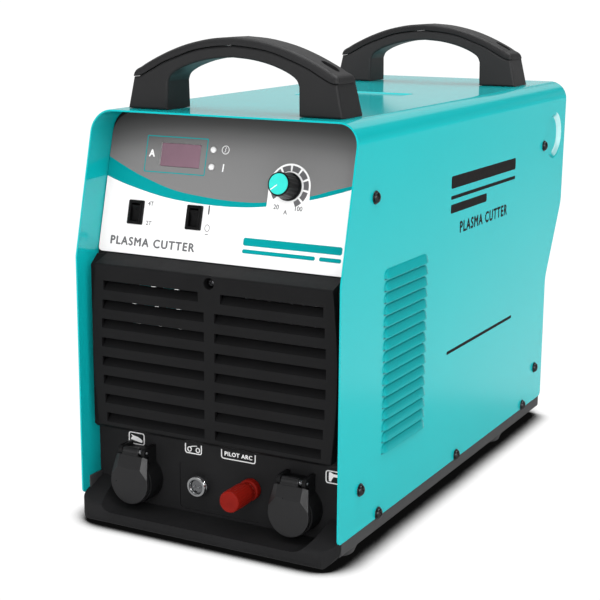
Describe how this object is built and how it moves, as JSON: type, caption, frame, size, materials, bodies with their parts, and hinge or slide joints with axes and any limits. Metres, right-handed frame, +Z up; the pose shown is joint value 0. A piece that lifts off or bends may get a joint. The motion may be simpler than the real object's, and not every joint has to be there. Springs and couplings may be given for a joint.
{
  "type": "plasma cutter unit",
  "caption": "Plasma cutter power unit: folded teal steel case with side louvres, moulded black front with grille, sloped control plate, lidded sockets, carrying handles and rear fan.",
  "frame": {"origin": "bottom centre of the bounding box, on the plane the feet stand on", "axes": "+X to the right seen from the front, +Y from the front panel to the rear, +Z up"},
  "size_m": [0.2754, 0.593, 0.4513],
  "materials": {
    "teal_paint": "semi-gloss teal powder coat",
    "grey_paint": "dark grey powder coat",
    "black_paint": "black powder coat",
    "black_plastic": "black moulded plastic, fine grain",
    "switch_plastic": "black plastic",
    "lid_plastic": "charcoal plastic",
    "handle_plastic": "charcoal moulded plastic",
    "grip_rubber": "soft charcoal grip",
    "teal_plastic": "teal plastic",
    "plate_print": "printed plate: white and grey fields with a teal band",
    "display_lens": "dark tinted window",
    "lamp_lens": "milky lamp lens",
    "plated_steel": "bright plated steel",
    "chrome_plate": "chrome plate",
    "black_screw": "black oxide steel",
    "brass": "brass",
    "red_plastic": "dark red plastic",
    "fan_metal": "die-cast frame, black",
    "cable_rubber": "black cable sheath",
    "aluminium": "extruded aluminium",
    "circuit_board": "green board with parts",
    "transformer_core": "varnished core and winding",
    "valve_metal": "valve body"
  },
  "bodies": {
    "housing": {"cover": "teal_paint", "base_tray": "grey_paint", "front_panel": "black_plastic", "front_grille": "black_plastic", "control_plate": "plate_print", "rear_panel": "black_paint", "display_window": "display_lens", "led_fault": "lamp_lens", "led_power": "lamp_lens", "mode_switch_housing": "switch_plastic", "test_switch_housing": "switch_plastic", "current_pot": "plated_steel", "control_board": "circuit_board", "earth_socket_body": "black_plastic", "earth_lid_pin": "plated_steel", "torch_socket_body": "black_plastic", "torch_lid_pin": "plated_steel", "trigger_socket_shell": "chrome_plate", "trigger_socket_insert": "switch_plastic", "pilot_post_collar": "red_plastic", "pilot_post_stud": "brass", "front_handle": "handle_plastic", "front_handle_grip": "grip_rubber", "rear_handle": "handle_plastic", "rear_handle_grip": "grip_rubber", "fan_frame": "fan_metal", "fan_guard": "plated_steel", "breaker_body": "switch_plastic", "cable_gland": "switch_plastic", "mains_cable": "cable_rubber", "air_inlet": "brass", "heat_sink": "aluminium", "power_board": "circuit_board", "transformer": "transformer_core", "solenoid_valve": "valve_metal", "grille_screw": "black_screw", "screw_right_front_top": "black_screw", "screw_left_front_top": "black_screw", "screw_right_rear_top": "black_screw", "screw_left_rear_top": "black_screw", "screw_right_front_low": "black_screw", "screw_left_front_low": "black_screw", "screw_right_rear_low": "black_screw", "screw_left_rear_low": "black_screw", "screw_right_base_front": "black_screw", "screw_left_base_front": "black_screw", "screw_right_base_mid": "black_screw", "screw_left_base_mid": "black_screw", "screw_right_base_rear": "black_screw", "screw_left_base_rear": "black_screw"},
    "knob": {"current_knob": "switch_plastic", "knob_cap": "teal_plastic"},
    "mode_rocker": {"mode_switch_rocker": "switch_plastic"},
    "test_rocker": {"test_switch_rocker": "switch_plastic"},
    "earth_lid": {"earth_socket_lid": "lid_plastic"},
    "torch_lid": {"torch_socket_lid": "lid_plastic"},
    "pilot_washer": {"pilot_post_washer": "plated_steel"},
    "pilot_cap": {"pilot_post_cap": "red_plastic"},
    "fan_wheel": {"fan_rotor": "switch_plastic"},
    "breaker_toggle": {"breaker_lever": "switch_plastic"}
  },
  "joints": [
    {"name": "knob_turn", "type": "hinge", "parent": "housing", "child": "knob", "pos_m": [0.0592, -0.24484, 0.32404], "axis": [0, 0.9695, -0.245], "range_deg": [0, 290]},
    {"name": "mode_rocker_tilt", "type": "hinge", "parent": "housing", "child": "mode_rocker", "pos_m": [-0.0958, -0.24178, 0.28799], "axis": [-1, 0, 0], "range_deg": [0, 22]},
    {"name": "test_rocker_tilt", "type": "hinge", "parent": "housing", "child": "test_rocker", "pos_m": [-0.033, -0.24178, 0.28799], "axis": [-1, 0, 0], "range_deg": [0, 22]},
    {"name": "earth_lid_swing", "type": "hinge", "parent": "housing", "child": "earth_lid", "pos_m": [-0.0838, -0.272, 0.0695], "axis": [-1, 0, 0], "range_deg": [0, 110]},
    {"name": "torch_lid_swing", "type": "hinge", "parent": "housing", "child": "torch_lid", "pos_m": [0.0838, -0.272, 0.0695], "axis": [-1, 0, 0], "range_deg": [0, 110]},
    {"name": "pilot_washer_slide", "type": "slide", "parent": "housing", "child": "pilot_washer", "axis": [0, -1, 0], "range_m": [0, 0.0041]},
    {"name": "pilot_cap_turn", "type": "hinge", "parent": "pilot_washer", "child": "pilot_cap", "pos_m": [0.033, -0.2845, 0.0484], "axis": [0, -1, 0], "range_deg": [0, 1440]},
    {"name": "fan_spin", "type": "hinge", "parent": "housing", "child": "fan_wheel", "pos_m": [0, 0.2012, 0.152], "axis": [0, 1, 0], "continuous": true},
    {"name": "breaker_toggle_swing", "type": "hinge", "parent": "housing", "child": "breaker_toggle", "pos_m": [-0.062, 0.2255, 0.306], "axis": [1, 0, 0], "range_deg": [0, 70]}
  ],
  "couplings": [
    {"joint": "pilot_washer_slide", "follows": "pilot_cap_turn", "m_per_rad": 0.00015915}
  ]
}
